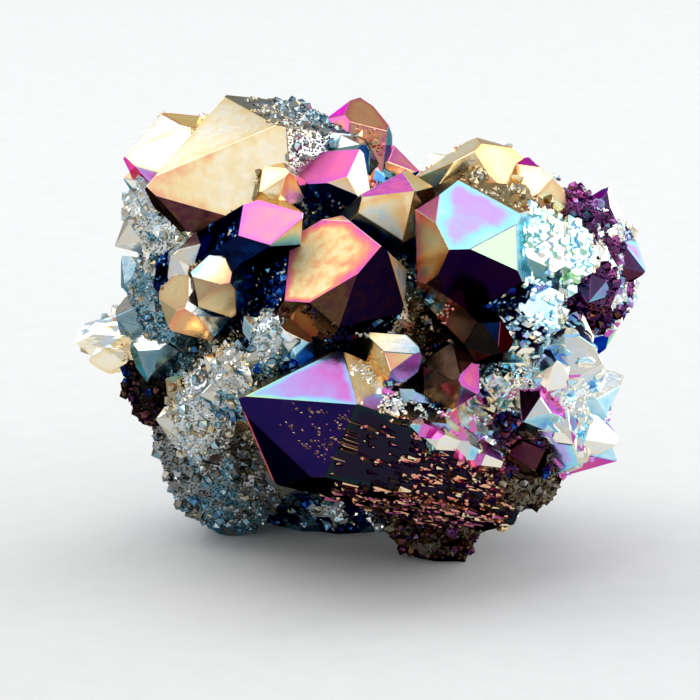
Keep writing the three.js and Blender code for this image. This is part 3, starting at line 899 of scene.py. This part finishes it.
def grow_patch(growths, patch, draw):
    """Adds a patch of small crystals to the shape that holds them all."""
    number, k, where, count, girths, rises, lengths, up, low = patch
    host = POINTS[number]
    end, axis = Vector(host["tip"]), aim(host["turn"], host["tilt"])
    outwards = facings(axis, host["roll"])
    outward = outwards[k]
    around = outward.cross(axis)
    lean = math.tan(math.radians(host.get("taper", 0)))
    half_width = where.get("wide", host["side"][k] * math.tan(math.radians(30)))
    names = [up.split(), low.split()]

    # Upward faces take the upper films, partly painted highlight; the rest take the lower ones, partly
    # painted shade.
    def pick(height):
        hues = names[0] if height > LOOKS_UP else names[1]
        return hues[int(draw() * len(hues))]

    for _ in range(count):
        girth, rise = blend(*girths, draw()), blend(*rises, draw())
        length = blend(*lengths, draw()) + 1.2 * girth
        side = [girth * (0.7 + 0.6 * draw()) for _ in range(6)]
        if "down" in where:
            down = blend(*where["down"], math.sqrt(draw()))
            aside = half_width * SCATTER * (draw() - 0.5)
            surface = host["side"][k] + lean * (down - host["side"][k] * math.tan(TIP_SLANT))
            side[k] = girth
            tip = end - axis * down + outward * (surface + rise - girth) + around * aside
            taper = -math.degrees(math.atan(rise / length)) - GROWTH_LEAN
        else:
            out = blend(*where["span"], math.sqrt(draw()))
            angle = math.radians(where["spread"] * (2 * draw() - 1))
            offset = outward * math.cos(angle) * out + around * math.sin(angle) * out
            heights = [(back - offset.dot(way) * math.sin(TIP_SLANT)) / math.cos(TIP_SLANT)
                       for back, way in zip(host["back"], outwards)]
            tip = end + offset + axis * (min(heights) + rise)
            taper = -TIP_LEAN
        turn = host["turn"] + GROWTH_SWAYS * (draw() - 0.5)
        tilt = host["tilt"] + GROWTH_SWAYS * (draw() - 0.5)
        roll = host["roll"] + GROWTH_ROLLS * (draw() - 0.5)
        back = [0.25 * girth * draw() for _ in range(6)]
        tips = " ".join(pick((axis * GROWTH_SLOPE[0] + way * GROWTH_SLOPE[1]).z) for way in outwards)
        sides = " ".join(pick(way.z) for way in outwards)
        small = quartz_point(tip, turn, tilt, roll, length, side, back, GROWTH_RIM, tips, sides,
                             taper=taper, worn=False)
        bmesh.ops.remove_doubles(small, verts=small.verts, dist=SLIVER)
        mesh = bpy.data.meshes.new("small")
        small.to_mesh(mesh)
        small.free()
        growths.from_mesh(mesh)
        bpy.data.meshes.remove(mesh)


growths = bmesh.new()
Layers(growths)
draw = seeded_random(SEED)
for patch in PATCHES:
    grow_patch(growths, patch, draw)
bmesh.ops.translate(growths, verts=growths.verts, vec=-CENTRE)
growths.normal_update()
bmesh.ops.scale(growths, verts=growths.verts, vec=(MM, MM, MM))
parallel = object_from(growths, "parallel_growths")
parallel.data.materials.append(film_metal)
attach(parallel, "root")

# ------------------------------------------------------------------------------
# Druse: the fine crystals that crust the core between the large points, in three sizes. They are quartz that
# seeded all over the core and grew outwards, coated with the rest, and they make the core glitter.
# ------------------------------------------------------------------------------
FACET_DRIFT = 0.1  # how far the film differs between the faces of one fine crystal
DRUSE_SWAY = 0.6  # how far from square to the ground the crystals stand
CROWDING = 1.6  # how many are tried on each square that is as wide as they stand apart


def druse_crystal(draw, faces, stem):
    """One crystal of unit girth: a point of three or six faces that stands off its middle, on a stem or on
    the ground."""
    shape = bmesh.new()
    facet = shape.faces.layers.float.new("facet")
    if stem:
        bmesh.ops.create_cone(shape, cap_ends=True, segments=faces, radius1=0.46, radius2=0.5, depth=stem)
        top = max(shape.faces, key=lambda face: face.calc_center_median().z)
        tops = bmesh.ops.poke(shape, faces=[top], offset=0.42)["verts"]
    else:
        bmesh.ops.create_cone(shape, cap_ends=True, segments=faces, radius1=0.5, radius2=0, depth=0.6)
        bmesh.ops.translate(shape, verts=shape.verts, vec=(0, 0, 0.14))
        tops = [max(shape.verts, key=lambda vert: vert.co.z)]
    bmesh.ops.translate(shape, verts=tops, vec=(0.08, 0.05, 0))
    for face in shape.faces:
        face[facet] = FACET_DRIFT * (draw() - 0.5)
    return shape


def grow_druse(name, cover_name, crystal, spacing, size, seed):
    """Scatters crystals over the joined solid where druse grows, as one mesh."""
    tree = bpy.data.node_groups.new(name, "GeometryNodeTree")
    tree.interface.new_socket("Ground", in_out="INPUT", socket_type="NodeSocketGeometry")
    tree.interface.new_socket("Druse", in_out="OUTPUT", socket_type="NodeSocketGeometry")
    ground = add_node(tree, "NodeGroupInput")
    cover = add_node(tree, "GeometryNodeInputNamedAttribute", {"data_type": "FLOAT"}, {"Name": cover_name})
    scattered = add_node(tree, "GeometryNodeDistributePointsOnFaces", {"distribute_method": "POISSON"}, {
        "Mesh": ground.outputs["Ground"], "Distance Min": spacing * MM,
        "Density Max": CROWDING / (spacing * MM) ** 2,
        "Density Factor": cover.outputs["Attribute"], "Seed": seed})
    wander = add_node(tree, "FunctionNodeRandomValue", {"data_type": "FLOAT_VECTOR"}, {
        "Min": (-DRUSE_SWAY,) * 3, "Max": (DRUSE_SWAY,) * 3, "Seed": seed + 1})
    way = add_node(tree, "ShaderNodeVectorMath", {"operation": "ADD"}, {
        0: scattered.outputs["Normal"], 1: wander.outputs["Value"]})
    stand = add_node(tree, "FunctionNodeAlignRotationToVector", {"axis": "Z"}, {
        "Vector": way.outputs["Vector"]})
    girth = add_node(tree, "FunctionNodeRandomValue", {"data_type": "FLOAT_VECTOR"}, {
        "Min": (size[0] * MM,) * 3, "Max": (size[1] * MM,) * 3, "Seed": seed + 2})
    chance = add_node(tree, "FunctionNodeRandomValue", {"data_type": "FLOAT"}, {"Seed": seed + 3})
    own = add_node(tree, "GeometryNodeStoreNamedAttribute", {"data_type": "FLOAT", "domain": "POINT"}, {
        "Geometry": scattered.outputs["Points"], "Name": "own", "Value": chance.outputs[1]})
    template = add_node(tree, "GeometryNodeObjectInfo", inputs={"Object": crystal})
    standing = add_node(tree, "GeometryNodeInstanceOnPoints", inputs={
        "Points": own.outputs["Geometry"], "Instance": template.outputs["Geometry"],
        "Rotation": stand.outputs["Rotation"], "Scale": girth.outputs["Value"]})
    joined = add_node(tree, "GeometryNodeRealizeInstances", inputs={
        "Geometry": standing.outputs["Instances"]})
    add_node(tree, "NodeGroupOutput", inputs={"Druse": joined.outputs["Geometry"]})
    grower = add_object(name, cluster.data)
    grower.modifiers.new("druse", "NODES").node_group = tree
    grown = bpy.data.meshes.new_from_object(grower.evaluated_get(bpy.context.evaluated_depsgraph_get()))
    grower.modifiers.clear()
    grower.data = grown
    grown.name = name
    grown.materials.clear()
    grown.materials.append(film_metal)
    bpy.data.node_groups.remove(tree)
    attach(grower, "root")


# Each size of crystal: the cover it grows on, its number of tip faces, the height of its stem, how far apart
# its crystals stand, their girths and the seed.
for name, cover, faces, stem, spacing, size, seed in (
        ("coarse_druse", "coarse_druse", 6, 0.6, 1.1, (0.6, 1.15), 3),
        ("middling_druse", "fine_druse", 6, 0.0, 0.6, (0.4, 0.75), 5),
        ("fine_druse", "fine_druse", 3, 0.0, 0.24, (0.24, 0.5), 9)):
    crystal = object_from(druse_crystal(seeded_random(SEED), faces, stem), "druse_crystal")
    grow_druse(name, cover, crystal, spacing, size, seed)
    discard(crystal)

# The cluster's own box, beside the box of the frame that it has to stay inside.
low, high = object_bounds()
